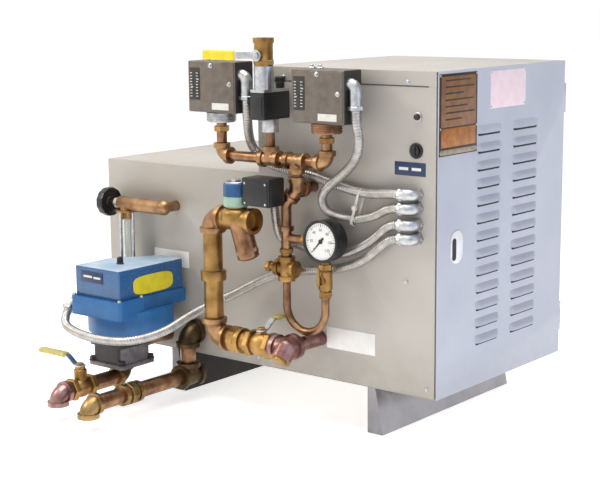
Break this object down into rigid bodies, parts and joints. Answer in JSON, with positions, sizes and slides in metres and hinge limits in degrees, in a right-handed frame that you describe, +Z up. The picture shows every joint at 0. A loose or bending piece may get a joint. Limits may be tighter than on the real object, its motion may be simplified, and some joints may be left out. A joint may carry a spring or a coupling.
{
  "type": "packaged electric steam boiler",
  "caption": "Small floor-standing electric steam boiler: stepped sheet-metal casing with a louvred door, and exposed brass trim, pressure controls, gauge, sight glass and low-water cut-off.",
  "frame": {"origin": "on the floor, under the middle of the whole boiler's box", "axes": "+Z up, +Y from the trim side into the casing, +X towards the louvred door"},
  "size_m": [0.791, 0.7524, 0.697],
  "materials": {
    "jacket_paint": "light warm-grey baked enamel on sheet steel",
    "rail_paint": "grey enamel on folded steel",
    "inner_steel": "primed plate",
    "vessel_steel": "dark primer",
    "black_plastic": "moulded",
    "brass": "cast and turned, lightly tarnished",
    "bronze": "dull bronze and copper-toned pipe",
    "control_paint": "grey-brown enamel",
    "blue_paint": "blue enamel",
    "cast_iron": "dark painted casting",
    "coil_plastic": "moulded coil housing",
    "zinc": "zinc plated",
    "conduit_metal": "flexible metal conduit",
    "yellow_vinyl": "dipped lever grip on zinc plated strip",
    "dial_white": "white dial plate",
    "glass": "clear tube"
  },
  "bodies": {
    "boiler": {"back_panel": "jacket_paint", "base_pan": "jacket_paint", "base_rails": "rail_paint", "blowdown_valve": "brass", "conduit_connectors": "zinc", "conduit_cutoff": "conduit_metal", "conduit_left_control": "conduit_metal", "conduit_right_control": "conduit_metal", "conduit_solenoid": "conduit_metal", "control_bases": "zinc", "cutoff_base": "blue_paint", "cutoff_chamber": "cast_iron", "cutoff_cover": "blue_paint", "cutoff_nipple": "bronze", "door_hinges": "zinc", "drain_fittings": "brass", "drain_nipples": "bronze", "electrical_gear": "black_plastic", "element_flange": "inner_steel", "feed_fittings": "bronze", "feed_pipes": "brass", "feed_solenoid": "brass", "feed_valve": "brass", "front_panel": "jacket_paint", "gauge_cock": "brass", "gauge_dial": "dial_white", "gauge_knob_lower": "black_plastic", "gauge_valves": "bronze", "guard_rods": "zinc", "low_end_panel": "jacket_paint", "low_lid": "jacket_paint", "manifold_fittings": "bronze", "manifold_nipples": "bronze", "panel_indicators": "black_plastic", "partition_panel": "inner_steel", "pressure_control_left": "control_paint", "pressure_control_right": "control_paint", "pressure_gauge": "black_plastic", "pressure_vessel": "vessel_steel", "sight_glass": "glass", "siphon_tube": "bronze", "solenoid_box": "black_plastic", "solenoid_coil": "coil_plastic", "steam_ball_valve": "brass", "steam_control_valve": "black_plastic", "steam_nipple": "bronze", "steam_valve_collars": "zinc", "tall_lid": "jacket_paint", "tall_side_panel": "jacket_paint", "vessel_saddles": "vessel_steel"},
    "door": {"access_door": "jacket_paint", "door_latch": "zinc"},
    "feed_lever": {"feed_valve_lever": "yellow_vinyl"},
    "blowdown_handle": {"blowdown_lever": "yellow_vinyl"},
    "steam_lever": {"steam_valve_lever": "yellow_vinyl"},
    "gauge_knob": {"gauge_knob_upper": "black_plastic"}
  },
  "joints": [
    {"name": "door_hinge", "type": "hinge", "parent": "boiler", "child": "door", "pos_m": [0.3865, 0.37125, 0.364], "axis": [0, 0, 1], "range_deg": [0, 110]},
    {"name": "feed_valve_turn", "type": "hinge", "parent": "boiler", "child": "feed_lever", "pos_m": [0.0865, -0.16275, 0.182], "axis": [0, 0, 1], "range_deg": [0, 90]},
    {"name": "blowdown_valve_turn", "type": "hinge", "parent": "boiler", "child": "blowdown_handle", "pos_m": [-0.2525, -0.28775, 0.09], "axis": [0, 0, 1], "range_deg": [0, 90]},
    {"name": "steam_valve_turn", "type": "hinge", "parent": "boiler", "child": "steam_lever", "pos_m": [0.0715, -0.14675, 0.667], "axis": [0, 1, 0], "range_deg": [0, 90]},
    {"name": "gauge_knob_turn", "type": "hinge", "parent": "boiler", "child": "gauge_knob", "pos_m": [-0.3595, -0.09775, 0.369], "axis": [1, 0, 0], "range_deg": [0, 540]}
  ]
}
